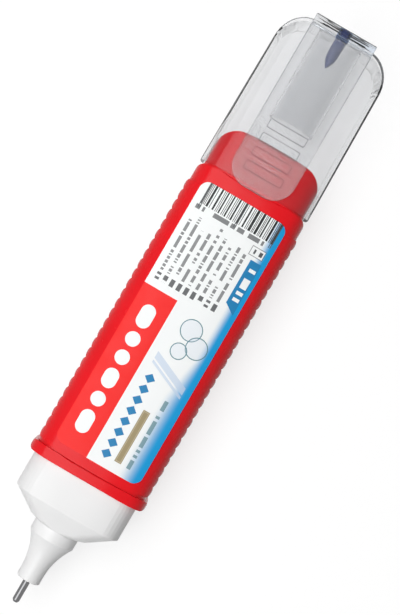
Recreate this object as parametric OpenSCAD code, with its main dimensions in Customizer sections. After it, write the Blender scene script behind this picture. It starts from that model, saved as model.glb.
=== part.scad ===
// Correction pen with a squeeze bottle, a needle tip and a clear cap posted on its rear end.
// It lies on its back: tip towards -Y, cap towards +Y, label and clip up. Sizes are in millimetres.

/* [Bottle] */
// Width of the bottle across its plain sides
bottle_w = 25.7; // [25:0.1:28]
// Depth of the bottle from its front to its back
bottle_d = 15.2; // [14.6:0.1:17]
// Length of the bottle from the flange's end face to the rear shoulder
bottle_len = 69.7; // [60:0.1:90]
// Thickness of the bottle's wall
bottle_wall = 1.2; // [0.9:0.1:1.5]
// Rounding of the rear shoulder's edge at the front and the back
shoulder_r = 1; // [0.4:0.1:1.6]
// Rounding of the rear shoulder's corners, seen from the front
shoulder_corner_r = 1.8; // [0.6:0.1:3]
// Radius of the arch of the rear shoulder
shoulder_crown_r = 170; // [120:5:300]
// Length of the rear stub that the posted cap grips
stub_len = 9.6; // [7:0.1:14]
// Width of the stub
stub_w = 23.8; // [22.6:0.1:24]
// Corner rounding of the stub, seen from the front
stub_corner_r = 5.2; // [3:0.1:6]
// Radius of the arch of the stub's end
stub_crown_r = 65; // [40:1:120]
// Edge rounding of the stub, seen from the side
stub_edge_r = 2; // [1.4:0.1:3]

/* [Grip ribs] */
// Distance from one rib to the next
rib_pitch = 2.38; // [1.8:0.01:3.2]
// Height of the ribs' crests over the plain sides
rib_rise = 0.45; // [0.4:0.05:0.8]
// Depth of the troughs between the ribs
rib_trough = 0.4; // [0.2:0.05:0.4]
// Plain band between the flange and the ribs
front_band = 0.8; // [0.5:0.1:4]
// Plain band between the ribs and the rear shoulder
rear_band = 4.6; // [2:0.1:8]

/* [Flange] */
// Thickness of the flange round the bottle's mouth
flange_h = 2.3; // [2:0.1:3]
// Height of the flange over the plain sides
flange_rise = 0.9; // [0.8:0.1:1.6]
// Rounding of the flange's rim at the sides
flange_edge_r = 0.95; // [0.3:0.05:0.95]
// Rounding of the flange's rim at the front and the back
flange_face_r = 0.5; // [0.2:0.05:0.6]

/* [Label] */
// Width of the label
label_w = 20.1; // [14:0.1:21]
// Distance from the label to the rear shoulder
label_back = 3.3; // [2:0.1:20]
// Distance from the flange's end face to the label
label_start = 4.5; // [3:0.1:6]
// Rounding of the label's corners
label_corner_r = 2; // [0.5:0.1:4]
// Thickness of the label's film
label_t = 0.1; // [0.06:0.01:0.2]

/* [Cap seat] */
// Width of the skirt, the oval seat that the cap slides on when it covers the tip
seat_w = 24.5; // [24.2:0.1:24.8]
// Depth of the skirt and of the stub
seat_d = 14.8; // [14.2:0.1:15]

/* [Front shoulder] */
// Length of the straight skirt in front of the flange
skirt_len = 8; // [5:0.1:12]
// Length of the slope from the skirt to the nozzle's seat
slope_len = 4.5; // [3.5:0.1:6]
// Diameter of the shoulder's end face
slope_end_d = 10.9; // [10.6:0.1:12]
// Thickness of the shoulder's wall
shoulder_wall = 1.2; // [0.9:0.1:1.4]
// Length of the plug that snaps into the bottle's mouth
plug_len = 5.5; // [4.5:0.1:8]
// Height of the plug's snap bead
snap_rise = 0.25; // [0.1:0.05:0.35]
// Clearance between the plug and the bottle's mouth
plug_clear = 0.05; // [0.02:0.01:0.1]

/* [Nozzle] */
// Diameter of the nozzle's base
nozzle_d = 10.2; // [9.8:0.1:10.6]
// Straight length of the base
nozzle_base = 2.5; // [1:0.1:4]
// Diameter of the nozzle's end
nozzle_tip_d = 5.3; // [4.2:0.1:6]
// Straight length of the end
nozzle_tip_len = 1.9; // [1.5:0.1:4]
// Length of the nozzle outside the shoulder
nozzle_len = 12.6; // [11.6:0.1:16]
// Diameter of the spigot inside the shoulder
spigot_d = 8.3; // [7.8:0.1:8.5]
// Length of the spigot
spigot_len = 4.5; // [3.5:0.1:6]
// Clearance between the spigot and the shoulder
spigot_clear = 0.05; // [0.02:0.01:0.1]
// Diameter of the valve chamber
chamber_d = 4.6; // [4:0.1:5]
// Depth of the valve chamber below the retainer
chamber_len = 8.3; // [8:0.1:9]

/* [Needle tube] */
// Outer diameter of the steel tube
needle_d = 1.6; // [1.4:0.05:2]
// Bore of the tube
needle_bore = 1.1; // [1.06:0.01:1.2]
// Length of the tube outside the nozzle
needle_out = 5.45; // [3:0.05:8]
// Diameter of the collar at the nozzle's end
collar_d = 2.3; // [1.9:0.1:3]
// Thickness of the collar
collar_h = 0.25; // [0.15:0.05:0.6]
// Diameter of the mouth that holds the ball in
lip_d = 0.84; // [0.7:0.01:0.9]

/* [Valve] */
// Diameter of the tip ball
tip_ball_d = 1; // [0.96:0.01:1.02]
// Travel of the ball when the tip is pressed on paper
press_travel = 0.3; // [0.2:0.05:0.4]
// Diameter of the push rod
rod_d = 0.6; // [0.4:0.05:0.8]
// Diameter of the push rod's head
rod_head_d = 2.6; // [2.4:0.1:3.2]
// Thickness of the head
rod_head_h = 0.8; // [0.5:0.1:1.2]
// Outer diameter of the spring
spring_d = 2.3; // [2:0.1:2.4]
// Diameter of the spring's wire
wire_d = 0.3; // [0.2:0.02:0.36]
// Number of turns of the spring
spring_turns = 7; // [5:1:9]
// Diameter of the spring retainer
retainer_d = 5.8; // [5.4:0.1:6]
// Thickness of the retainer
retainer_t = 1.2; // [0.8:0.1:1.6]

/* [Mixing ball] */
// Diameter of the steel ball that stirs the fluid
mixing_ball_d = 6; // [4:0.1:8]

/* [Cap] */
// Length of the cap
cap_len = 36.7; // [34:0.1:44]
// Thickness of the cap's wall
cap_wall = 0.6; // [0.5:0.05:0.9]
// Thickness of the cap's end wall
cap_end = 0.8; // [0.7:0.05:1.4]
// Corner rounding of the closed end, seen from the front
cap_corner_r = 6.6; // [3:0.1:7.5]
// Edge rounding of the closed end, seen from the side
cap_edge_r = 2; // [1.2:0.1:3]
// Draft of the cap: each side stands in by this much at the closed end
cap_draft = 0.45; // [0.1:0.05:0.6]
// Radius of the arch of the closed end
cap_crown_r = 50; // [40:1:100]
// Clearance between the cap and its seat
cap_clear = 0.1; // [0.05:0.01:0.15]
// Outer diameter of the inner sleeve that closes round the nozzle
sleeve_d = 10.2; // [9.4:0.1:10.6]
// Thickness of the sleeve's wall
sleeve_wall = 0.45; // [0.4:0.05:0.8]
// Length of the sleeve inside the cap
sleeve_len = 20.6; // [16:0.1:22]

/* [Clip] */
// Width of the clip
clip_w = 14.1; // [10:0.1:14.2]
// Thickness of the clip's tongue
clip_t = 1.3; // [0.9:0.1:1.8]
// Gap between the tongue and the cap's front
clip_gap = 1.2; // [0.8:0.1:2]
// Thickness of the web that joins the clip to the cap's end
clip_root = 1.8; // [1.4:0.1:3]
// Rise of the web over the cap's end
clip_rise = 0.7; // [0:0.1:1.2]
// Length of the tongue beyond the cap's mouth
clip_over = 0.9; // [0:0.1:2]
// Rounding of the bend between web and tongue
clip_bend_r = 1.6; // [0.5:0.1:2.5]
// Rounding of the tongue's end
clip_corner_r = 4.8; // [2:0.1:5]
// Rounding of the clip's outer edges
clip_edge_r = 0.4; // [0.2:0.05:0.6]
// Number of raised grip bars
bar_count = 4; // [1:1:6]
// Width of a grip bar
bar_w = 8.8; // [6:0.1:9.4]
// Height of a grip bar along the clip
bar_h = 2; // [1:0.1:2.6]
// Distance from one bar to the next
bar_pitch = 3.2; // [2.8:0.1:4]
// Distance from the tongue's end to the middle of the first bar
bar_start = 4.2; // [3.5:0.1:8]
// Rise of the bars over the clip
bar_rise = 0.3; // [0.1:0.05:0.5]

/* [Tip seal] */
// Diameter of the seal plug
seal_d = 2.5; // [2:0.1:4]
// Length of the plug. Its head stands as far over the cap's end as the clip's web does
seal_len = 7.8; // [6:0.1:10]

/* [Hidden] */
$fn = 64;

// The oval section: crowned faces with a flat strip in the middle, round corners and flat sides
corner_r = 5;
crown_r = 40;
strip = 2.5;
corner_steps = 8;
crown_steps = 3;
edge_steps = 10;
arch_steps = 6;
// What trims a block stands this much outside it, so that no two faces lie in one plane
ease = 0.01;
// A cut runs this far past the face that it opens
through = 1;
// Parts of one piece sink this far into each other
sink = 0.1;
// Gap between pieces that only touch
touch = 0.02;
// The ribs' front lies this far below the plain front
rib_sink = 0.05;
// Gap between the mixing ball and the wall that it lies on
rest_gap = 0.05;

cap_w = seat_w + 2 * (cap_clear + cap_wall);
cap_d = seat_d + 2 * (cap_clear + cap_wall);
flange_w = bottle_w + 2 * flange_rise;
// The flange is as deep as the cap, so the pen lies level on both
flange_d = cap_d;
rib_w = bottle_w + 2 * rib_rise;
rib_start = flange_h + front_band;
rib_count = floor((bottle_len - rear_band - rib_start) / rib_pitch);
rib_r = pow(rib_pitch, 2) / (8 * rib_trough) + rib_trough / 2;

stub_top = bottle_len + stub_len;
shoulder_end = -skirt_len - slope_len;
nozzle_end = shoulder_end - nozzle_len;
spigot_top = shoulder_end + spigot_len;
chamber_top = spigot_top - retainer_t;
chamber_floor = chamber_top - chamber_len;
tube_top = chamber_floor - (chamber_d - needle_d) / 2;
tube_end = nozzle_end - needle_out;
lip_h = 0.1;
crimp_h = 0.45;
ball_z = tube_end + lip_h + sqrt(pow(tip_ball_d, 2) - pow(lip_d, 2)) / 2 + touch;
tip_z = ball_z - tip_ball_d / 2;
head_z = chamber_floor + 0.7;
spring_z = head_z + rod_head_h;
spring_top = chamber_top - press_travel - 0.05;
guide_len = 3;

cap_mouth = bottle_len + 0.1;
cap_top = cap_mouth + cap_len;
clip_top = cap_top + clip_rise;
seal_end = clip_top - seal_len;
seal_clear = 0.02;
sleeve_mouth = cap_top - cap_end - sleeve_len;
clip_out = cap_d / 2 + clip_gap + clip_t;
clip_end = cap_mouth - clip_over;

snap_z = plug_len - 2.3;
snap_h = 0.8;
mouth_w = bottle_w - 2 * bottle_wall;
mouth_d = bottle_d - 2 * bottle_wall;
plug_inset = bottle_wall + plug_clear;
plug_wall = 1;

// Points of an arc round a centre, from one angle to another
function arc(centre, r, from, to, steps) =
    [for (i = [0:steps]) let (a = from + (to - from) * i / steps) centre + r * [cos(a), sin(a)]];

function reversed(list) = [for (i = [len(list) - 1 : -1 : 0]) list[i]];

// One quarter of the oval: a corner arc that runs over into the crown's arc without a kink
function quarter(w, d, inset) =
    let (r = corner_r - inset, crown = crown_r - inset,
         lean = asin((w - r - strip) / (crown - r)),
         side = d - crown + (crown - r) * cos(lean),
         top = arc([strip, d - crown], crown, 90 - lean, 90, crown_steps))
    concat(arc([w - r, side], r, 0, 90 - lean, corner_steps), [for (i = [1:crown_steps]) top[i]]);

// Oval of a given full width and depth, drawn in by an even inset
module oval(width, depth, inset = 0) {
    q = quarter(width / 2 - inset, depth / 2 - inset, inset);
    polygon(concat(q, [for (p = reversed(q)) [-p[0], p[1]]],
                   [for (p = q) -p], [for (p = reversed(q)) [p[0], -p[1]]]));
}

// Outline that trims a block's ends with round corners: r0 at the low end, r1 at the high end
function trim(half, z0, z1, r0, r1) = concat(
    r1 > 0 ? arc([half - r1, z1 - r1], r1 + ease, 0, 90, edge_steps) : [[half + ease, z1 + through]],
    r1 > 0 ? arc([r1 - half, z1 - r1], r1 + ease, 90, 180, edge_steps) : [[-half - ease, z1 + through]],
    r0 > 0 ? arc([r0 - half, z0 + r0], r0 + ease, 180, 270, edge_steps) : [[-half - ease, z0 - through]],
    r0 > 0 ? arc([half - r0, z0 + r0], r0 + ease, 270, 360, edge_steps) : [[half + ease, z0 - through]]);

// The same with a flat low end and an arched high end: the corners run over into the arch, and
// the sides lean in by the draft
function arched_trim(half, z0, z1, r, crown, draft) =
    let (lean = asin((half - draft - r) / (crown - r)),
         side = z1 - crown + (crown - r) * cos(lean),
         arch = arc([0, z1 - crown], crown + ease, 90 - lean, 90 + lean, arch_steps))
    concat(arc([half - draft - r, side], r + ease, 0, 90 - lean, edge_steps),
           [for (i = [1:arch_steps - 1]) arch[i]],
           arc([r + draft - half, side], r + ease, 90 + lean, 180, edge_steps),
           [[-half - ease, z0 - through], [half + ease, z0 - through]]);

// Oval block from z0 to z1. Its ends are rounded by radii seen from the front and from the side.
// With a crown radius its high end is arched from side to side, and its sides may have a draft
module block(width, depth, z0, z1, inset = 0, front = [0, 0], side = [0, 0], crown = 0, draft = 0) {
    intersection() {
        translate([0, 0, z0])
            linear_extrude(z1 - z0) oval(width, depth, inset);
        rotate([90, 0, 0])
            linear_extrude(2 * depth, center = true)
                polygon(crown > 0 ? arched_trim(width / 2 - inset, z0, z1, front[1], crown, draft)
                                  : trim(width / 2 - inset, z0, z1, front[0], front[1]));
        rotate([90, 0, 90])
            linear_extrude(2 * width, center = true)
                polygon(trim(depth / 2 - inset, z0, z1, side[0], side[1]));
    }
}

// Thin slice of the oval, for a hull
module slice(width, depth, z, inset = 0)
    translate([0, 0, z]) linear_extrude(ease) oval(width, depth, inset);

// Pieces are drawn upright, with the front at -y and 0 at the flange's end face, and then laid down
module lay()
    translate([0, -(clip_top + tip_z) / 2, cap_d / 2]) rotate([-90, 0, 0]) children();

// Side outline of the grip: one convex scallop for each rib
module scallops() {
    cube([rib_w - 2 * rib_trough, 2 * bottle_d, 2 * bottle_len], center = true);
    for (i = [0:rib_count - 1], side = [-1, 1])
        translate([side * (rib_w / 2 - rib_r), 0, rib_start + rib_pitch * (i + 0.5)])
            rotate([90, 0, 0]) cylinder(r = rib_r, h = 2 * bottle_d, center = true);
}

module bottle() {
    color("crimson") lay() difference() {
        union() {
            block(flange_w, flange_d, 0, flange_h, 0,
                  [flange_edge_r, flange_edge_r], [flange_face_r, flange_face_r]);
            block(bottle_w, bottle_d, flange_h / 2, bottle_len, 0,
                  [0, shoulder_corner_r], [0, shoulder_r], shoulder_crown_r);
            intersection() {
                translate([0, 0, rib_start])
                    linear_extrude(rib_count * rib_pitch) oval(rib_w, bottle_d - 2 * rib_sink);
                scallops();
            }
            block(stub_w, seat_d, bottle_len - shoulder_r - 2 * through, stub_top, 0,
                  [0, stub_corner_r], [0, stub_edge_r], stub_crown_r);
        }
        block(bottle_w, bottle_d, -through, bottle_len - bottle_wall, bottle_wall,
              [0, shoulder_corner_r], [0, shoulder_r], shoulder_crown_r - bottle_wall);
        block(stub_w, seat_d, bottle_len - 3 * bottle_wall, stub_top - bottle_wall, bottle_wall,
              [0, stub_corner_r - bottle_wall], [0, stub_edge_r - bottle_wall],
              stub_crown_r - bottle_wall);
        // Groove for the front shoulder's snap bead
        translate([0, 0, snap_z - plug_clear])
            linear_extrude(snap_h + 2 * plug_clear) oval(bottle_w, bottle_d, bottle_wall - snap_rise);
    }
}

module label() {
    color("white") lay() intersection() {
        linear_extrude(bottle_len) difference() {
            oval(rib_w, bottle_d, -touch - label_t);
            oval(rib_w, bottle_d, -touch);
            // Only the front half of the ring is film
            translate([-rib_w, 0]) square([2 * rib_w, bottle_d]);
        }
        rotate([90, 0, 0])
            linear_extrude(bottle_d)
                polygon(trim(label_w / 2, label_start, bottle_len - label_back,
                             label_corner_r, label_corner_r));
    }
}

module front_shoulder() {
    // Just before its end the slope is still this wide and this deep, and then turns in to the end face
    knee_w = slope_end_d + 3.7;
    knee_d = slope_end_d + 1.5;
    knee_z = shoulder_end + 0.65;
    color("whitesmoke") lay() difference() {
        union() {
            difference() {
                union() {
                    block(seat_w, seat_d, -skirt_len, 0);
                    hull() {
                        slice(seat_w, seat_d, -skirt_len);
                        slice(knee_w, knee_d, knee_z, 0.5);
                        translate([0, 0, shoulder_end]) cylinder(d = slope_end_d, h = ease);
                    }
                    block(bottle_w, bottle_d, -sink, plug_len, plug_inset, [0, 0.6], [0, 0.6]);
                    translate([0, 0, snap_z])
                        linear_extrude(snap_h) oval(bottle_w, bottle_d, plug_inset - snap_rise);
                }
                translate([0, 0, -skirt_len + 0.4])
                    linear_extrude(skirt_len + plug_len)
                        oval(bottle_w, bottle_d, plug_inset + plug_wall);
                hull() {
                    slice(bottle_w, bottle_d, -skirt_len + 0.4, plug_inset + plug_wall);
                    slice(knee_w, knee_d, knee_z + 0.9, 0.5 + shoulder_wall);
                }
            }
            // Socket for the nozzle's spigot
            translate([0, 0, shoulder_end])
                cylinder(d = spigot_d + 2 * spigot_clear + 2 * shoulder_wall, h = spigot_len);
        }
        translate([0, 0, shoulder_end - through])
            cylinder(d = spigot_d + 2 * spigot_clear, h = spigot_len + 2 * through);
    }
}

module nozzle() {
    taper = nozzle_len - nozzle_base - nozzle_tip_len;
    waist = (nozzle_d - nozzle_tip_d) / 2;
    // Radius of the hollow curve that runs from the base into the straight end
    curve_r = (pow(taper, 2) + pow(waist, 2)) / (2 * waist);
    curve_z = nozzle_end + nozzle_tip_len;
    edge = 0.2;
    color("whitesmoke") lay() difference() {
        union() {
            rotate_extrude() difference() {
                polygon([[0, nozzle_end], [nozzle_tip_d / 2 - edge, nozzle_end],
                         [nozzle_tip_d / 2, nozzle_end + edge], [nozzle_tip_d / 2, curve_z],
                         [nozzle_d / 2, curve_z], [nozzle_d / 2, shoulder_end], [0, shoulder_end]]);
                translate([nozzle_tip_d / 2 + curve_r, curve_z]) circle(curve_r, $fn = 180);
            }
            translate([0, 0, shoulder_end - sink]) cylinder(d = spigot_d, h = spigot_len + sink);
        }
        translate([0, 0, chamber_floor]) cylinder(d = chamber_d, h = chamber_len + retainer_t + through);
        translate([0, 0, chamber_top]) cylinder(d = retainer_d + 2 * touch, h = retainer_t + through);
        translate([0, 0, tube_top]) cylinder(d1 = needle_d, d2 = chamber_d, h = chamber_floor - tube_top);
        translate([0, 0, nozzle_end - through])
            cylinder(d = needle_d + 2 * touch, h = tube_top - nozzle_end + through);
    }
}

module needle_tube() {
    color("silver") lay() rotate_extrude() polygon([
        [needle_bore / 2, tube_top], [needle_d / 2, tube_top],
        [needle_d / 2, nozzle_end], [collar_d / 2, nozzle_end],
        [collar_d / 2, nozzle_end - collar_h], [needle_d / 2, nozzle_end - collar_h],
        [needle_d / 2, tube_end + crimp_h], [lip_d / 2 + lip_h, tube_end],
        [lip_d / 2, tube_end], [lip_d / 2, tube_end + lip_h],
        [needle_bore / 2, tube_end + lip_h + (needle_bore - lip_d) / 2]]);
}

module tip_ball() {
    color("silver") lay() translate([0, 0, ball_z]) sphere(d = tip_ball_d);
}

// Rod behind the ball, with a slotted head under the spring and a guide pin inside it
module push_rod() {
    rod_z = ball_z + tip_ball_d / 2;
    color("silver") lay() difference() {
        union() {
            translate([0, 0, rod_z]) cylinder(d = rod_d, h = spring_z + guide_len - rod_z);
            translate([0, 0, head_z]) cylinder(d = rod_head_d, h = rod_head_h);
        }
        for (turn = [0, 90]) rotate(turn)
            for (side = [-1, 1]) translate([side * rod_head_d / 2, 0, head_z + rod_head_h / 2])
                cube([rod_head_d / 3, 0.4, 2 * rod_head_h], center = true);
    }
}

// Ring of points round the wire's middle line, at one place of the helix
function wire_ring(turn, rise) =
    let (a = 360 * turn, mean = (spring_d - wire_d) / 2)
    [for (s = [0:wire_sides - 1]) let (b = 360 * s / wire_sides, reach = mean + wire_d / 2 * cos(b))
        [reach * cos(a), reach * sin(a), rise * turn + wire_d / 2 * sin(b)]];
wire_sides = 6;
turn_steps = 16;

module valve_spring() {
    rings = spring_turns * turn_steps;
    rise = (spring_top - spring_z - wire_d - touch) / spring_turns;
    points = [for (i = [0:rings]) each wire_ring(i / turn_steps, rise)];
    sides = [for (i = [0:rings - 1], s = [0:wire_sides - 1])
        let (a = i * wire_sides, b = a + wire_sides, t = (s + 1) % wire_sides)
        [a + s, b + s, b + t, a + t]];
    ends = [[for (s = [0:wire_sides - 1]) s], [for (s = [wire_sides - 1:-1:0]) rings * wire_sides + s]];
    color("silver") lay() translate([0, 0, spring_z + wire_d / 2 + touch])
        polyhedron(points, concat(sides, ends));
}

module spring_retainer() {
    hole_d = 1.2;
    color("white") lay() difference() {
        translate([0, 0, chamber_top]) cylinder(d = retainer_d, h = retainer_t);
        for (a = [0:90:270]) rotate(a) translate([retainer_d / 4, 0, chamber_top - through])
            cylinder(d = hole_d, h = retainer_t + 2 * through);
    }
}

module mixing_ball() {
    low = bottle_d / 2 - bottle_wall - rest_gap - mixing_ball_d / 2;
    color("silver") lay() translate([0, low, bottle_len / 2]) sphere(d = mixing_ball_d);
}

// Side outline of the clip: a web off the cap's end and a tongue that hangs from it
module clip_side() {
    inner = clip_out - clip_t;
    foot = cap_d / 2 - cap_edge_r - cap_wall;
    fillet_r = 0.5;
    polygon(concat(
        [[foot, clip_top]],
        reversed(arc([clip_out - clip_bend_r, clip_top - clip_bend_r], clip_bend_r, 0, 90, edge_steps)),
        arc([clip_out - clip_edge_r, clip_end + clip_edge_r], clip_edge_r, 0, -90, 4),
        [[inner, clip_end]],
        arc([inner - fillet_r, clip_top - clip_root - fillet_r], fillet_r, 0, 90, edge_steps),
        [[cap_d / 2 - cap_wall / 2, clip_top - clip_root],
         [cap_d / 2 - cap_wall / 2, cap_top - 2 * cap_end], [foot, cap_top - 2 * cap_end]]));
}

module clip() {
    intersection() {
        rotate([90, 0, -90]) linear_extrude(clip_w, center = true) clip_side();
        rotate([90, 0, 0])
            linear_extrude(2 * clip_out, center = true)
                polygon(trim(clip_w / 2, clip_end, clip_top, clip_corner_r, clip_edge_r));
        translate([0, 0, clip_end - through])
            linear_extrude(clip_top - clip_end + 2 * through)
                polygon([for (p = trim(clip_w / 2, 0, clip_out, 0, clip_edge_r)) [p[0], -p[1]]]);
    }
    for (i = [0:bar_count - 1])
        translate([0, bar_rise - clip_out, clip_end + bar_start + i * bar_pitch])
            rotate([90, 0, 0])
                linear_extrude(2 * bar_rise) polygon(trim(bar_w / 2, -bar_h / 2, bar_h / 2, 0.4, 0.4));
}

module cap() {
    color([0.85, 0.9, 0.95, 0.4]) lay() difference() {
        union() {
            difference() {
                union() {
                    block(cap_w, cap_d, cap_mouth, cap_top, 0,
                          [0, cap_corner_r], [0, cap_edge_r], cap_crown_r, cap_draft);
                    clip();
                }
                block(cap_w, cap_d, cap_mouth - through, cap_top - cap_end, cap_wall,
                      [0, cap_corner_r - cap_wall], [0, cap_edge_r - cap_wall],
                      cap_crown_r - cap_end, cap_draft);
            }
            translate([0, 0, sleeve_mouth]) difference() {
                cylinder(d = sleeve_d, h = sleeve_len + sink);
                translate([0, 0, -through])
                    cylinder(d = sleeve_d - 2 * sleeve_wall, h = sleeve_len + through);
            }
        }
        translate([0, 0, cap_top - cap_end - through])
            cylinder(d = seal_d + 2 * seal_clear, h = cap_end + 2 * through);
    }
}

// Soft plug with a bullet end, which shuts the needle's mouth when the cap is on the tip
module tip_seal() {
    nose = 1.4 * seal_d;
    nose_r = (pow(nose, 2) + pow(seal_d / 2, 2)) / seal_d;
    color("steelblue") lay() rotate_extrude() union() {
        translate([0, seal_end + nose]) square([seal_d / 2, seal_len - nose]);
        intersection() {
            translate([0, seal_end]) square([seal_d / 2, nose + sink]);
            translate([seal_d / 2 - nose_r, seal_end + nose]) circle(nose_r, $fn = 120);
        }
    }
}

bottle();
label();
front_shoulder();
nozzle();
needle_tube();
tip_ball();
push_rod();
valve_spring();
spring_retainer();
mixing_ball();
cap();
tip_seal();
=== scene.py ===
import math

import bmesh
import bpy
from mathutils import Matrix, Vector


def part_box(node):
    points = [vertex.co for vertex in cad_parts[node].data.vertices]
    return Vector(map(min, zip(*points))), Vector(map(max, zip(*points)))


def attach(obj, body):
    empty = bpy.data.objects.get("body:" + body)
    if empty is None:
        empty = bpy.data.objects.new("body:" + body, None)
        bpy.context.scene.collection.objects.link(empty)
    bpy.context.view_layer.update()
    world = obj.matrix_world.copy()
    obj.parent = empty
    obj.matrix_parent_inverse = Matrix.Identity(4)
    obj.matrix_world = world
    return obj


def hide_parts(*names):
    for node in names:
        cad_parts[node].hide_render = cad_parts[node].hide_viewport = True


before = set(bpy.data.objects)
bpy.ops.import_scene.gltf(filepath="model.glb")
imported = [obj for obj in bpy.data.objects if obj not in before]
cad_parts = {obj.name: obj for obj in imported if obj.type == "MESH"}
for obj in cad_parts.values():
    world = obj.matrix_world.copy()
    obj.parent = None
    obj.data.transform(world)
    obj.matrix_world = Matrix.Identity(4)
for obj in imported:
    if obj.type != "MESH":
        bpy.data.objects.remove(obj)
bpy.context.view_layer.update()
mm = 0.001

# Bottle
# One moulded piece of red polyethylene: a flange round the mouth, rows of ribs down both sides for
# the fingers, and a narrower stub behind that the cap grips. The skin is smooth with a faint grain.


def smooth_copy(node_name, body, material, crease_deg=28, edge_mm=0.0, end_edge_mm=0.0, end_y=0.0):
    """A piece made from a CAD node: its triangles are joined, round stretches are shaded smooth, and
    its sharp edges are broken by edge_mm. Outer edges beyond end_y are rounded by up to end_edge_mm,
    the more the sharper they are. The piece rides on the body and replaces the node."""
    one_point = 0.001 * mm
    one_plane = math.radians(0.4)
    sharp_deg = 40
    first_round_deg = 28
    full_round_deg = 73
    widest_mm = max(end_edge_mm, edge_mm)
    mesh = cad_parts[node_name].data.copy()
    mesh.materials.clear()
    mesh.materials.append(material)
    if "custom_normal" in mesh.attributes:
        mesh.attributes.remove(mesh.attributes["custom_normal"])
    form = bmesh.new()
    form.from_mesh(mesh)
    bmesh.ops.remove_doubles(form, verts=form.verts, dist=one_point)
    bmesh.ops.dissolve_limit(form, angle_limit=one_plane, verts=form.verts, edges=form.edges)
    for face in form.faces:
        face.smooth = True
    for edge in form.edges:
        edge.smooth = len(edge.link_faces) == 2 and edge.calc_face_angle(0) < math.radians(crease_deg)
    if edge_mm:
        weights = form.edges.layers.float.new("bevel_weight_edge")
        for edge in form.edges:
            bend = math.degrees(edge.calc_face_angle(0)) if len(edge.link_faces) == 2 else 0
            if end_edge_mm and edge.is_convex and min(vert.co.y for vert in edge.verts) > end_y:
                share = (bend - first_round_deg) / (full_round_deg - first_round_deg)
                edge[weights] = min(max(share, 0), 1)
            elif bend > sharp_deg:
                edge[weights] = edge_mm / widest_mm
    form.to_mesh(mesh)
    form.free()
    piece = bpy.data.objects.new(node_name + "_piece", mesh)
    bpy.context.scene.collection.objects.link(piece)
    if edge_mm:
        bevel = piece.modifiers.new("broken_edges", "BEVEL")
        bevel.width = widest_mm * mm
        bevel.segments = 4
        bevel.limit_method = "WEIGHT"
    normals = piece.modifiers.new("flat_faces_stay_flat", "WEIGHTED_NORMAL")
    normals.keep_sharp = True
    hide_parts(node_name)
    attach(piece, body)


def add(tree, kind, inputs=None, **settings):
    """Adds a shader node. Each input is a value, or the socket that feeds it."""
    made = tree.nodes.new("ShaderNode" + kind)
    for name, value in settings.items():
        setattr(made, name, value)
    for key, value in (inputs or {}).items():
        if isinstance(value, bpy.types.NodeSocket):
            tree.links.new(value, made.inputs[key])
        else:
            made.inputs[key].default_value = value
    return made


def maths(tree, operation, *values, clamp=False):
    """The result of a Math node. Each value is a number, or the socket that feeds it."""
    made = add(tree, "Math", dict(enumerate(values)), operation=operation, use_clamp=clamp)
    return made.outputs[0]


def mix_colours(tree, factor, first, second):
    """The first colour where the factor is 0, and the second where it is 1."""
    first, second = [(*part, 1) if isinstance(part, tuple) else part for part in (first, second)]
    return add(tree, "Mix", {0: factor, 6: first, 7: second}, data_type="RGBA").outputs[2]


def new_group(name, takes, gives):
    """An empty node group with named inputs and outputs."""
    group = bpy.data.node_groups.new(name, "ShaderNodeTree")
    for label, kind in takes:
        group.interface.new_socket(label, in_out="INPUT", socket_type="NodeSocket" + kind)
    for label, kind in gives:
        group.interface.new_socket(label, in_out="OUTPUT", socket_type="NodeSocket" + kind)
    return group, group.nodes.new("NodeGroupInput").outputs, group.nodes.new("NodeGroupOutput").inputs


def use_group(tree, group, **inputs):
    """Places a group in a material. An input is named with underscores for its spaces."""
    made = tree.nodes.new("ShaderNodeGroup")
    made.node_tree = group
    for key, value in inputs.items():
        socket = made.inputs[key.replace("_", " ")]
        if isinstance(value, bpy.types.NodeSocket):
            tree.links.new(value, socket)
        else:
            socket.default_value = value
    return made.outputs


def new_material(name):
    """A material, its node tree, its Principled shader and its Object coordinates."""
    material = bpy.data.materials.new(name)
    material.use_nodes = True
    tree = material.node_tree
    return material, tree, tree.nodes["Principled BSDF"], add(tree, "TexCoord").outputs["Object"]


# Moulded plastic: cloudy tone, soft sink marks and a fine skin grain from the polished mould
moulded_skin, given, result = new_group(
    "moulded_skin", [("Position", "Vector"), ("Grain Scale", "Float")],
    [("Tone", "Float"), ("Sheen", "Float"), ("Height", "Float")])
cloud = add(moulded_skin, "TexNoise", {"Vector": given["Position"], "Scale": 90.0, "Detail": 2.0})
patch = add(moulded_skin, "TexNoise", {"Vector": given["Position"], "Scale": 420.0, "Detail": 4.0})
grain = add(moulded_skin, "TexNoise", {"Vector": given["Position"], "Scale": given["Grain Scale"],
                                       "Detail": 2.0})
moulded_skin.links.new(cloud.outputs[0], result["Tone"])
moulded_skin.links.new(patch.outputs[0], result["Sheen"])
moulded_skin.links.new(
    maths(moulded_skin, "ADD", maths(moulded_skin, "MULTIPLY", grain.outputs[0], 0.35),
          patch.outputs[0]), result["Height"])


def give_skin(tree, shader, position, grain_scale, gloss, matt, strength, depth, low=0.3, high=0.7):
    """Gives a shader the skin's relief and a roughness between gloss and matt, the first where the
    skin's sheen is at low and the second where it is at high. Returns what the skin puts out."""
    skin = use_group(tree, moulded_skin, Position=position, Grain_Scale=grain_scale)
    sheen = add(tree, "MapRange", {"Value": skin["Sheen"], "From Min": low, "From Max": high,
                                   "To Min": gloss, "To Max": matt})
    tree.links.new(sheen.outputs[0], shader.inputs["Roughness"])
    relief = add(tree, "Bump", {"Height": skin["Height"], "Strength": strength, "Distance": depth})
    tree.links.new(relief.outputs[0], shader.inputs["Normal"])
    return skin


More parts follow.
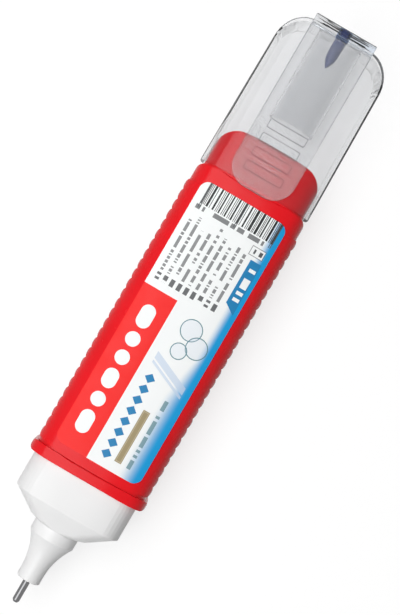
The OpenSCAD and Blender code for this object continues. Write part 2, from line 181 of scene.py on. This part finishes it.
def moulded_plastic(name, dark, light, gloss, matt, specular=0.5):
    """Plastic from a polished mould: its tone drifts between two colours and its gloss varies."""
    material, tree, shader, position = new_material(name)
    skin = give_skin(tree, shader, position, grain_scale=4200.0, gloss=gloss, matt=matt,
                     strength=0.15, depth=0.02 * mm)
    tree.links.new(mix_colours(tree, skin["Tone"], dark, light), shader.inputs["Base Color"])
    shader.inputs["Specular IOR Level"].default_value = specular
    return material


red_plastic = moulded_plastic("red_polyethylene", dark=(0.75, 0.003, 0.008),
                              light=(0.83, 0.006, 0.013), gloss=0.2, matt=0.28, specular=0.19)
smooth_copy("bottle", "pen", red_plastic)

# Label
# A white film stuck on the bottle's crowned front, printed in blue, red, gold and grey and varnished.
# The print is plain fields, bars and dashes. Places are millimetres from the label's rear end.

label_low, label_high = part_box("label")
rear_end = label_high.y / mm
label_half = label_high.x / mm
label_length = (label_high.y - label_low.y) / mm

# A rectangle with round corners and crisp edges
edge_blur = 0.02
print_field, given, result = new_group(
    "print_field",
    [("Position", "Vector"), ("Middle", "Vector"), ("Half Size", "Vector"), ("Corner", "Float")],
    [("Mask", "Float")])
offset = add(print_field, "VectorMath", {0: given["Position"], 1: given["Middle"]},
             operation="SUBTRACT").outputs[0]
offset = add(print_field, "VectorMath", {0: offset}, operation="ABSOLUTE").outputs[0]
offset = add(print_field, "VectorMath", {0: offset, 1: given["Half Size"]},
             operation="SUBTRACT").outputs[0]
reach = add(print_field, "SeparateXYZ", {0: offset}).outputs
side = maths(print_field, "ADD", reach[0], given["Corner"])
end = maths(print_field, "ADD", reach[1], given["Corner"])
round_part = maths(print_field, "SQRT", maths(
    print_field, "ADD",
    maths(print_field, "POWER", maths(print_field, "MAXIMUM", side, 0.0), 2.0),
    maths(print_field, "POWER", maths(print_field, "MAXIMUM", end, 0.0), 2.0)))
inner_part = maths(print_field, "MINIMUM", maths(print_field, "MAXIMUM", side, end), 0.0)
distance = maths(print_field, "SUBTRACT", maths(print_field, "ADD", round_part, inner_part),
                 given["Corner"])
edge = add(print_field, "MapRange", {"Value": distance, "From Min": -edge_blur, "From Max": edge_blur,
                                     "To Min": 1.0, "To Max": 0.0})
print_field.links.new(edge.outputs[0], result["Mask"])

# Columns of small dashes with a ragged start, which stand for print too fine to matter
missing_share = 0.3
print_dashes, given, result = new_group(
    "print_dashes",
    [("Position", "Vector"), ("First", "Float"), ("Pitch", "Float"), ("Columns", "Float"),
     ("Start", "Float"), ("End", "Float"), ("Ragged", "Float"), ("Stroke", "Float"),
     ("Dash", "Float")],
    [("Mask", "Float")])
spot = add(print_dashes, "SeparateXYZ", {0: given["Position"]}).outputs
lane = maths(print_dashes, "DIVIDE", maths(print_dashes, "SUBTRACT", spot[0], given["First"]),
             given["Pitch"])
column = maths(print_dashes, "FLOOR", maths(print_dashes, "ADD", lane, 0.5))
aside = maths(print_dashes, "ABSOLUTE", maths(print_dashes, "MULTIPLY",
              maths(print_dashes, "SUBTRACT", lane, column), given["Pitch"]))
in_lane = maths(print_dashes, "MULTIPLY",
                maths(print_dashes, "GREATER_THAN", column, -0.5),
                maths(print_dashes, "LESS_THAN", column,
                      maths(print_dashes, "SUBTRACT", given["Columns"], 0.5)))
luck = add(print_dashes, "TexWhiteNoise", {"W": column}, noise_dimensions="1D").outputs[0]
begin = maths(print_dashes, "ADD", given["Start"],
              maths(print_dashes, "MULTIPLY", luck, given["Ragged"]))
in_length = maths(print_dashes, "MULTIPLY", maths(print_dashes, "GREATER_THAN", spot[1], begin),
                  maths(print_dashes, "LESS_THAN", spot[1], given["End"]))
step = maths(print_dashes, "FLOOR", maths(print_dashes, "DIVIDE", spot[1], given["Dash"]))
cell = add(print_dashes, "CombineXYZ", {0: column, 1: step}).outputs[0]
ink = add(print_dashes, "TexWhiteNoise", {"Vector": cell}, noise_dimensions="2D").outputs[0]
dash = maths(print_dashes, "GREATER_THAN", ink, missing_share)
half_stroke = maths(print_dashes, "MULTIPLY", given["Stroke"], 0.5)
within = maths(print_dashes, "LESS_THAN", aside, half_stroke)
mask = maths(print_dashes, "MULTIPLY", maths(print_dashes, "MULTIPLY", in_lane, in_length),
             maths(print_dashes, "MULTIPLY", dash, within))
print_dashes.links.new(mask, result["Mask"])

film, tree, shader, position = new_material("printed_film")
# Positions on the label: x across it and y away from its rear end, both in millimetres
on_label = add(tree, "Mapping", {"Vector": position, "Location": (0, rear_end, 0),
                                 "Scale": (1 / mm, -1 / mm, 1 / mm)}).outputs[0]
across, along, _ = add(tree, "SeparateXYZ", {0: on_label}).outputs


def ramp(tree, value, low, high):
    """0 below low, 1 above high, eased between."""
    return add(tree, "MapRange", {"Value": value, "From Min": low, "From Max": high},
               interpolation_type="SMOOTHSTEP").outputs[0]


def field(x0, x1, y0, y1, corner=0.0):
    """A mask that is 1 in a rectangle on the label."""
    middle = ((x0 + x1) / 2, (y0 + y1) / 2, 0)
    half = ((x1 - x0) / 2, (y1 - y0) / 2, 0)
    return use_group(tree, print_field, Position=on_label, Middle=middle, Half_Size=half,
                     Corner=corner)["Mask"]


def dashes(first, pitch, columns, start, end, ragged, stroke, dash, turned=False):
    """A mask of dashes in columns along the label, or across it where they are turned. The first
    column's middle is at first, and a dash is as wide as stroke and as long as dash."""
    place = on_label
    if turned:
        place = add(tree, "CombineXYZ", {0: along, 1: across}).outputs[0]
    return use_group(tree, print_dashes, Position=place, First=first, Pitch=pitch,
                     Columns=float(columns), Start=start, End=end, Ragged=ragged, Stroke=stroke,
                     Dash=dash)["Mask"]


def over(under, colour, mask, strength=1.0):
    """Prints a colour over what is there already, where the mask lets it."""
    if strength < 1:
        mask = maths(tree, "MULTIPLY", mask, strength)
    return mix_colours(tree, mask, under, colour)


paper_white = (0.93, 0.95, 0.95)
sky_blue = (0.012, 0.33, 0.69)
deep_blue = (0.020, 0.22, 0.47)
panel_red = (0.91, 0.010, 0.008)
gold = (0.36, 0.29, 0.16)
pale_gold = (0.62, 0.55, 0.42)
ink_grey = (0.09, 0.095, 0.10)
ink_black = (0.015, 0.016, 0.018)
line_teal = (0.10, 0.24, 0.28)
pale_violet = (0.55, 0.66, 0.82)
# A single line of dashes
one_column = {"pitch": 3.0, "columns": 1, "ragged": 0.0}

# The blue band down the right edge. Its inner edge is soft at the rear and fades out wide in front
band_x = 9.1
fade = add(tree, "MapRange", {"Value": along, "From Min": 33.0, "From Max": 43.0,
                              "To Min": 2.1, "To Max": 4.1}).outputs[0]
band = maths(tree, "DIVIDE", maths(tree, "SUBTRACT", across, maths(tree, "SUBTRACT", band_x, fade)),
             fade, clamp=True)
print_colour = over(paper_white, sky_blue, ramp(tree, band, 0.0, 1.0))

# The red panel in front on the left, with a row of white pills and discs
print_colour = over(print_colour, panel_red, field(-label_half - 1, -2.2, 24.5, label_length + 1))
pill_y = 28.0
pill_gap = 1.15
pill_corner = 1.6
for pill in (5.2, 3.2, 3.2, 4.4, 3.2, 5.2):
    white_pill = field(-7.8, -4.6, pill_y, pill_y + pill, pill_corner)
    print_colour = over(print_colour, paper_white, white_pill)
    pill_y += pill + pill_gap

# Bars of uneven width that run off the rear end, between pairs of thin guard lines. Each pitch holds
# a thick bar, a thinner one that shifts, and in three of four another thin one
off_end = -1
bar_start = -8.4
bar_end = 8.95
bar_foot = 4.75
bar_pitch = 1.42
half_bar = 0.05
bar_place = maths(tree, "DIVIDE", across, bar_pitch)
bar_cell = maths(tree, "FLOOR", bar_place)
in_cell = maths(tree, "FRACT", bar_place)
code = add(tree, "TexWhiteNoise", {"W": bar_cell}, noise_dimensions="1D").outputs
code_parts = add(tree, "SeparateColor", {0: code["Color"]}).outputs
thick_end = maths(tree, "MULTIPLY_ADD", code["Value"], 0.2, 0.22)
thick_bar = maths(tree, "LESS_THAN", in_cell, thick_end)
middle_place = maths(tree, "MULTIPLY_ADD", code_parts[0], 0.08, 0.54)
middle_bar = maths(tree, "COMPARE", in_cell, middle_place, half_bar)
thin_bar = maths(tree, "MULTIPLY", maths(tree, "COMPARE", in_cell, 0.8, half_bar),
                 maths(tree, "GREATER_THAN", code_parts[1], 0.25))
bars = maths(tree, "MULTIPLY",
             maths(tree, "MAXIMUM", thick_bar, maths(tree, "MAXIMUM", middle_bar, thin_bar)),
             field(bar_start, bar_end, off_end, bar_foot))
print_colour = over(print_colour, ink_black, bars)
guard_foot = 5.7
guard_width = 0.18
guard_pitch = 0.36
for pair_start in (bar_start, 0.0, bar_end - 0.6):
    for guard in (pair_start, pair_start + guard_pitch):
        guard_line = field(guard, guard + guard_width, off_end, guard_foot)
        print_colour = over(print_colour, ink_grey, guard_line)
marks = dashes(5.55, start=-9.3, end=7.8, stroke=1.0, dash=0.52, turned=True, **one_column)
print_colour = over(print_colour, ink_grey, marks, 0.85)

# Nine columns of fine dashes, each with small dark marks at its end, and a framed box
fine_columns = {"first": -8.3, "pitch": 1.667, "columns": 9}
fine_dashes = dashes(start=6.9, end=20.6, ragged=3.0, stroke=0.66, dash=0.3, **fine_columns)
print_colour = over(print_colour, ink_grey, fine_dashes, 0.8)
end_marks = dashes(start=21.2, end=22.8, ragged=0.0, stroke=0.95, dash=0.53, **fine_columns)
print_colour = over(print_colour, ink_grey, end_marks, 0.95)
print_colour = over(print_colour, ink_grey, field(5.5, 8.75, 6.75, 8.85), 0.8)
print_colour = over(print_colour, paper_white, field(5.65, 8.6, 6.9, 8.7))
marks = dashes(7.8, start=6.0, end=8.3, stroke=1.0, dash=0.42, turned=True, **one_column)
print_colour = over(print_colour, ink_grey, marks)

# The deep blue tab on the right edge, cut off on a slant, with white marks
tab_slope = 0.7
tab_cut = 15.1
past_cut = maths(tree, "SUBTRACT", along, maths(tree, "MULTIPLY", across, tab_slope))
tab = maths(tree, "MULTIPLY", maths(tree, "LESS_THAN", past_cut, tab_cut),
            field(6.6, 9.15, 9.6, 22.5))
print_colour = over(print_colour, deep_blue, tab)
marks = dashes(8.1, start=11.0, end=19.0, stroke=1.5, dash=0.75, **one_column)
print_colour = over(print_colour, paper_white, marks)

# Thin overlapping rings with a pale fill, and in front of them two pale stripes on a slant
half_ring = 0.1
ring_fill = 0.22
stripe_slope = 0.45
for ring_x, ring_y, ring_r in ((3.4, 28.4, 2.3), (6.2, 31.2, 2.3), (3.2, 33.4, 1.7)):
    away = add(tree, "VectorMath", {0: on_label, 1: (ring_x, ring_y, 0)},
               operation="SUBTRACT").outputs[0]
    flat = add(tree, "VectorMath", {0: away, 1: (1, 1, 0)}, operation="MULTIPLY").outputs[0]
    far = add(tree, "VectorMath", {0: flat}, operation="LENGTH").outputs["Value"]
    print_colour = over(print_colour, pale_violet, maths(tree, "LESS_THAN", far, ring_r), ring_fill)
    from_ring = maths(tree, "ABSOLUTE", maths(tree, "SUBTRACT", far, ring_r))
    print_colour = over(print_colour, line_teal, maths(tree, "LESS_THAN", from_ring, half_ring))
leaning = maths(tree, "SUBTRACT", along, maths(tree, "MULTIPLY", across, stripe_slope))
for stripe_start, stripe_end in ((35.6, 37.2), (37.6, 38.2)):
    stripe = maths(tree, "MULTIPLY", maths(tree, "GREATER_THAN", leaning, stripe_start),
                   maths(tree, "LESS_THAN", leaning, stripe_end))
    stripe = maths(tree, "MULTIPLY", stripe, field(-0.4, 8.4, 30, 45))
    print_colour = over(print_colour, pale_violet, stripe, 0.7)

# A row of blue diamonds, the gold bar with its pale frame, and one more line of dashes
row_x = 0.95
diamond_pitch = 2.55
diamond_half = 1.08
diamond_stretch = 0.9
row_margin = 1.2
first_diamond = 41.2
last_diamond = first_diamond + 7 * diamond_pitch
round_trip = maths(tree, "PINGPONG", maths(tree, "SUBTRACT", along, first_diamond),
                   diamond_pitch / 2)
from_row = maths(tree, "ABSOLUTE", maths(tree, "SUBTRACT", across, row_x))
from_diamond = maths(tree, "ADD", maths(tree, "MULTIPLY", from_row, diamond_stretch), round_trip)
diamonds = maths(tree, "MULTIPLY", maths(tree, "LESS_THAN", from_diamond, diamond_half),
                 field(-0.6, 2.5, first_diamond - row_margin, last_diamond + row_margin))
print_colour = over(print_colour, deep_blue, diamonds)
print_colour = over(print_colour, gold, field(3.1, 4.65, 47.4, 59.6))
print_colour = over(print_colour, pale_gold, field(3.28, 4.47, 47.6, 59.4), 0.6)
print_colour = over(print_colour, gold, field(3.4, 4.35, 47.75, 59.25))
marks = dashes(6.4, start=43.6, end=59.7, stroke=0.9, dash=0.62, **one_column)
print_colour = over(print_colour, line_teal, marks, 0.8)

tree.links.new(print_colour, shader.inputs["Base Color"])
give_skin(tree, shader, position, grain_scale=5200.0, gloss=0.28, matt=0.4, strength=0.1,
          depth=0.01 * mm)
shader.inputs["Specular IOR Level"].default_value = 0.2
smooth_copy("label", "pen", film)

# Front shoulder and nozzle
# Two white polypropylene mouldings with a satin skin. The shoulder's plug snaps into the bottle's
# mouth, and the nozzle's spigot is pushed into the shoulder. The shoulder's shallow edges stay crisp.

white_plastic = moulded_plastic("white_polypropylene", dark=(0.80, 0.80, 0.80),
                                light=(0.86, 0.86, 0.86), gloss=0.3, matt=0.42, specular=0.4)
smooth_copy("front_shoulder", "pen", white_plastic, crease_deg=9)
smooth_copy("nozzle", "pen", white_plastic)

# Needle tube, balls and valve
# A drawn steel tube with a rolled collar and a ball in its crimped mouth. Behind the ball are a push
# rod, its spring and a pale disc that holds them in. A loose steel ball in the bottle stirs the fluid.


def steel(name, tone, gloss, matt, ring_scale):
    """Bright steel with the fine rings that turning, drawing or grinding leaves round its axis."""
    material, tree, shader, position = new_material(name)
    squeezed = add(tree, "Mapping", {"Vector": position, "Scale": (60.0, ring_scale, 60.0)}).outputs[0]
    rings = add(tree, "TexNoise", {"Vector": squeezed, "Scale": 1.0, "Detail": 3.0}).outputs[0]
    darker = tuple(0.88 * part for part in tone)
    tree.links.new(mix_colours(tree, rings, darker, tone), shader.inputs["Base Color"])
    shine = add(tree, "MapRange", {"Value": rings, "To Min": gloss, "To Max": matt})
    tree.links.new(shine.outputs[0], shader.inputs["Roughness"])
    relief = add(tree, "Bump", {"Height": rings, "Strength": 0.2, "Distance": 0.01 * mm})
    tree.links.new(relief.outputs[0], shader.inputs["Normal"])
    shader.inputs["Metallic"].default_value = 1.0
    return material


drawn_steel = steel("drawn_steel", (0.17, 0.17, 0.175), gloss=0.10, matt=0.22, ring_scale=9000.0)
polished_steel = steel("polished_steel", (0.45, 0.45, 0.47), gloss=0.05, matt=0.14, ring_scale=3000.0)
wire_steel = steel("spring_wire", (0.55, 0.55, 0.56), gloss=0.2, matt=0.34, ring_scale=5000.0)
natural_plastic = moulded_plastic("natural_polypropylene", dark=(0.70, 0.70, 0.68),
                                  light=(0.78, 0.78, 0.76), gloss=0.4, matt=0.5)
smooth_copy("needle_tube", "pen", drawn_steel)
smooth_copy("tip_ball", "valve", polished_steel)
smooth_copy("mixing_ball", "pen", polished_steel)
smooth_copy("push_rod", "valve", wire_steel, crease_deg=50)
smooth_copy("valve_spring", "valve", wire_steel, crease_deg=50)
smooth_copy("spring_retainer", "pen", natural_plastic)

# Cap
# One clear polystyrene moulding with its pocket clip and the inner sleeve that closes round the nozzle.
# It is glossy, its edges are slightly broken, and light handling has left fine marks.

clear_plastic, tree, shader, position = new_material("clear_polystyrene")
wear = give_skin(tree, shader, position, grain_scale=2600.0, gloss=0.01, matt=0.04, strength=0.004,
                 depth=0.01 * mm, low=0.35, high=0.75)
cap_low, cap_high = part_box("cap")
needle_low, needle_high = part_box("needle_tube")
axis_z = (needle_low.z + needle_high.z) / 2
place = add(tree, "SeparateXYZ", {0: position}).outputs
from_middle = maths(tree, "ABSOLUTE", place[0])
right_side = maths(tree, "GREATER_THAN", place[0], 0.0)
# Only the clip stands above this height
clip_z = label_high.z + 0.8 * mm
on_clip = maths(tree, "GREATER_THAN", place[2], clip_z)
below_clip = maths(tree, "LESS_THAN", place[2], clip_z)

# Painted shade: the front wall is tinted darker, so that it and what lies under it look dimmer, while
# the other walls are nearly clear; the tint also drifts a little at random
front_shade_depth = 4 * mm
front = ramp(tree, place[2], axis_z, axis_z + front_shade_depth)
front_shade_and_cloud = maths(tree, "ADD", maths(tree, "MULTIPLY", front, 0.8),
              maths(tree, "MULTIPLY", wear["Tone"], 0.2))
tint = mix_colours(tree, front_shade_and_cloud, (0.965, 0.967, 0.97), (0.77, 0.776, 0.784))

# Painted shade: where the plastic is seen at a grazing angle its colour is darkened into dark rims,
# wider and darker on the right
left_rim_start = 0.62
right_rim_extra = 0.17
rim_full = 0.9
left_rim_share = 0.7
grazing = add(tree, "LayerWeight", {"Blend": 0.5}).outputs["Facing"]
rim_start = maths(tree, "SUBTRACT", left_rim_start, maths(tree, "MULTIPLY", right_side, right_rim_extra))
rim_shade = ramp(tree, grazing, rim_start, rim_full)


def reach_past(beside, beyond):
    """The distance from a corner's centre, for a place beside it, beyond it or both."""
    both = add(tree, "CombineXYZ", {0: maths(tree, "MAXIMUM", beside, 0.0),
                                    1: maths(tree, "MAXIMUM", beyond, 0.0)}).outputs[0]
    return add(tree, "VectorMath", {0: both}, operation="LENGTH").outputs["Value"]


# The closed end's edge is tighter, and there a thin line of painted shade follows its outline, wider on
# the right
corner_r = 6.6 * mm
corner_x = 5.9 * mm
corner_y = cap_high.y - 7.7 * mm
left_line = 0.22 * mm
right_line_extra = 0.3 * mm
outline_shade = 0.85
beyond = maths(tree, "SUBTRACT", place[1], corner_y)
outline = reach_past(maths(tree, "SUBTRACT", from_middle, corner_x), beyond)
line_width = maths(tree, "MULTIPLY_ADD", right_side, right_line_extra, left_line)
line = maths(tree, "GREATER_THAN", outline, maths(tree, "SUBTRACT", corner_r, line_width))
normal = add(tree, "SeparateXYZ", {0: add(tree, "TexCoord").outputs["Normal"]}).outputs
facing_up = maths(tree, "GREATER_THAN", normal[2], 0.1)
line = maths(tree, "MULTIPLY", maths(tree, "MULTIPLY", line, maths(tree, "GREATER_THAN", beyond, 0.0)),
             maths(tree, "MULTIPLY", facing_up, below_clip))
rim_shade = maths(tree, "MAXIMUM", rim_shade, maths(tree, "MULTIPLY", line, outline_shade))
rim_share = maths(tree, "MULTIPLY_ADD", right_side, 1 - left_rim_share, left_rim_share)
rim_shade = maths(tree, "MULTIPLY", rim_shade, rim_share)

# Painted shade: thin dark lines are painted along the edges of the clip's four grip bars
grip_half_w = 4.4 * mm
grip_half_h = 1.0 * mm
grip_corner_r = 0.4 * mm
grip_line = 0.14 * mm
grip_pitch = 3.2 * mm
first_grip_y = cap_low.y + 4.2 * mm
last_grip = 3.0
grip_line_shade = 0.5
past_first = maths(tree, "SUBTRACT", place[1], first_grip_y)
grip_row = maths(tree, "FLOOR", maths(tree, "ADD", maths(tree, "DIVIDE", past_first, grip_pitch), 0.5))
grip_row = maths(tree, "MINIMUM", maths(tree, "MAXIMUM", grip_row, 0.0), last_grip)
past_grip = maths(tree, "SUBTRACT", past_first, maths(tree, "MULTIPLY", grip_row, grip_pitch))
grip_edge = reach_past(
    maths(tree, "SUBTRACT", from_middle, grip_half_w - grip_corner_r),
    maths(tree, "SUBTRACT", maths(tree, "ABSOLUTE", past_grip), grip_half_h - grip_corner_r))
grip_edge = maths(tree, "COMPARE", grip_edge, grip_corner_r - grip_line / 2, grip_line / 2)
grip_edge = maths(tree, "MULTIPLY", on_clip, maths(tree, "MULTIPLY", grip_edge, grip_line_shade))
rim_shade = maths(tree, "MAXIMUM", rim_shade, grip_edge)

# Painted shade and reflection: the clip is painted grey before its web, the web is painted bluish on the
# right as a reflection of the plug, and the plug is painted dark over both
clip_bend_y = cap_high.y - 2.8 * mm
web_y = cap_high.y - 1.9 * mm
plug_half_w = 1.4 * mm
on_bend = maths(tree, "MULTIPLY", on_clip, maths(tree, "GREATER_THAN", place[1], clip_bend_y))
on_web = maths(tree, "GREATER_THAN", place[1], web_y)
over_plug = maths(tree, "LESS_THAN", from_middle, plug_half_w)
bend_shade_and_reflection = mix_colours(tree, maths(tree, "MULTIPLY", on_web, right_side),
                        (0.62, 0.64, 0.66), (0.58, 0.68, 0.82))
bend_shade_and_reflection = mix_colours(tree, over_plug, bend_shade_and_reflection, (0.05, 0.09, 0.19))
tint = mix_colours(tree, on_bend, tint, bend_shade_and_reflection)

# Only the eye sees the painted rim shade, and there it is partly a plain dark surface
path = add(tree, "LightPath").outputs
rim_shade = maths(tree, "MULTIPLY", rim_shade, path["Is Camera Ray"])
tree.links.new(mix_colours(tree, rim_shade, tint, (0.10, 0.11, 0.12)), shader.inputs["Base Color"])
edge_shade = add(tree, "BsdfDiffuse", {"Color": (0.07, 0.075, 0.08, 1)})

# The clip's free end is a little milky
milky_y = cap_low.y + 9 * mm
clearer_y = cap_low.y + 13 * mm
free_end = add(tree, "MapRange", {"Value": place[1], "From Min": milky_y, "From Max": clearer_y,
                                  "To Min": 0.11, "To Max": 0.03}).outputs[0]
milk = add(tree, "BsdfDiffuse", {"Color": (0.77, 0.775, 0.78, 1)})
milky = add(tree, "MixShader", {0: maths(tree, "MULTIPLY", on_clip, free_end), 1: shader.outputs[0],
                                2: milk.outputs[0]})
edged = add(tree, "MixShader", {0: maths(tree, "MULTIPLY", rim_shade, 0.8), 1: milky.outputs[0],
                                2: edge_shade.outputs[0]})
shader.inputs["IOR"].default_value = 1.46
shader.inputs["Specular Tint"].default_value = (0.28, 0.28, 0.29, 1)
shader.inputs["Transmission Weight"].default_value = 1.0
# Lamps shine straight through the clear plastic, so that what is inside it isn't dark
lamp_ray = maths(tree, "MAXIMUM", path["Is Shadow Ray"], path["Is Diffuse Ray"])
through = add(tree, "BsdfTransparent", {"Color": (0.96, 0.96, 0.965, 1)})
mixed = add(tree, "MixShader", {0: lamp_ray, 1: edged.outputs[0], 2: through.outputs[0]})
tree.links.new(mixed.outputs[0], tree.nodes["Material Output"].inputs["Surface"])
rounded_length = 9 * mm
smooth_copy("cap", "cap", clear_plastic, edge_mm=0.12, end_edge_mm=0.45,
            end_y=cap_high.y - rounded_length)

# Tip seal
# A soft blue plug pressed through the cap's end wall, whose round nose shuts the needle's mouth.

blue_plastic = moulded_plastic("blue_elastomer", dark=(0.003, 0.034, 0.19),
                               light=(0.006, 0.046, 0.25), gloss=0.3, matt=0.45, specular=0.3)
smooth_copy("tip_seal", "cap", blue_plastic)

# Floor, light and camera
# A pale floor that keeps a soft shadow, a wide box of light overhead on the left, two weak ones at the
# sides, and a camera that looks down on the pen, which lies aslant in the picture.

floor_reach = 3.0
floor_form = bmesh.new()
bmesh.ops.create_grid(floor_form, x_segments=1, y_segments=1, size=floor_reach)
floor_mesh = bpy.data.meshes.new("floor")
floor_form.to_mesh(floor_mesh)
floor_form.free()
floor = bpy.data.objects.new("floor", floor_mesh)
bpy.context.scene.collection.objects.link(floor)
# It lies a hair below the pen's back, so that the two faces don't share a plane
floor.location.z = -0.02 * mm


def seen(tree):
    """1 for what the eye sees, also in a mirror or through glass, and 0 for what lights the pen."""
    path = add(tree, "LightPath").outputs
    return maths(tree, "MAXIMUM", path["Is Camera Ray"],
                 maths(tree, "MAXIMUM", path["Is Glossy Ray"], path["Is Transmission Ray"]))


floor_material, tree, shader, position = new_material("pale_floor")
tree.nodes.remove(shader)
lit = add(tree, "BsdfDiffuse", {"Color": (0.33, 0.33, 0.33, 1)})
dimmed = add(tree, "BsdfDiffuse", {"Color": (0.25, 0.25, 0.25, 1)})
glow = add(tree, "Emission", {"Color": (1, 1, 1, 1), "Strength": 0.77})
shaded = add(tree, "AddShader", {0: dimmed.outputs[0], 1: glow.outputs[0]})
# Far from the pen the floor turns as white as the backdrop, so that no horizon shows
white_starts = 0.2
white_full = 1.0
away = add(tree, "VectorMath", {0: position}, operation="LENGTH").outputs["Value"]
backdrop = add(tree, "Emission", {"Color": (1, 1, 1, 1), "Strength": 1.0})
shown = add(tree, "MixShader", {0: ramp(tree, away, white_starts, white_full), 1: shaded.outputs[0],
                                2: backdrop.outputs[0]})
mixed = add(tree, "MixShader", {0: seen(tree), 1: lit.outputs[0], 2: shown.outputs[0]})
tree.links.new(mixed.outputs[0], tree.nodes["Material Output"].inputs["Surface"])
floor_mesh.materials.append(floor_material)

# The world is white to the eye, and gives the pen only a little light
world = bpy.data.worlds.new("studio")
bpy.context.scene.world = world
world.use_nodes = True
tree = world.node_tree
world_light = 0.09
strength = maths(tree, "ADD", world_light, maths(tree, "MULTIPLY", seen(tree), 1 - world_light))
tree.links.new(strength, tree.nodes["Background"].inputs["Strength"])
tree.nodes["Background"].inputs["Color"].default_value = (1, 1, 1, 1)


def light_box(name, place, target, width, height, radiance):
    """A rectangular lamp of a given radiance, turned towards a point."""
    lamp = bpy.data.lights.new(name, "AREA")
    lamp.shape = "RECTANGLE"
    lamp.size = width
    lamp.size_y = height
    lamp.energy = radiance * math.pi * width * height
    box = bpy.data.objects.new(name, lamp)
    bpy.context.scene.collection.objects.link(box)
    box.location = place
    box.rotation_euler = (Vector(target) - Vector(place)).to_track_quat("-Z", "Y").to_euler()


light_box("overhead_box", place=(-0.395, -0.3, 1.0), target=(-0.395, -0.3, 0), width=0.86, height=2.0,
          radiance=3.3)
light_box("left_box", place=(-1.3, 0, 0.9), target=(0, 0, 0), width=1.4, height=1.8, radiance=0.14)
light_box("right_box", place=(1.3, 0, 0.9), target=(0, 0, 0), width=1.2, height=1.8, radiance=0.05)

# The photograph is 400 by 615 pixels. A pixel is this wide at the pen's axis, and the camera stands
# this many pixel widths away from it
picture_height = 615
pixel = 0.2108 * mm
distance_in_pixels = 1545
pen_turn = math.radians(30.2)
camera_y = 10.0 * mm
aim_x = 2.57 * mm
aim_y = 4.63 * mm
stand = Vector((0, camera_y, axis_z + distance_in_pixels * pixel))
aim = Vector((aim_x, aim_y, axis_z))
picture_up = Vector((-math.sin(pen_turn), math.cos(pen_turn), 0))
backward = (stand - aim).normalized()
right = picture_up.cross(backward).normalized()
up = backward.cross(right)
camera_data = bpy.data.cameras.new("camera")
camera_data.sensor_width = 36
camera_data.lens = camera_data.sensor_width * distance_in_pixels / picture_height
camera_data.clip_start = 0.01
camera = bpy.data.objects.new("camera", camera_data)
bpy.context.scene.collection.objects.link(camera)
turn = Matrix((right, up, backward)).transposed()
camera.matrix_world = Matrix.Translation(stand) @ turn.to_4x4()
bpy.context.scene.camera = camera
bpy.context.scene.view_settings.view_transform = "Standard"
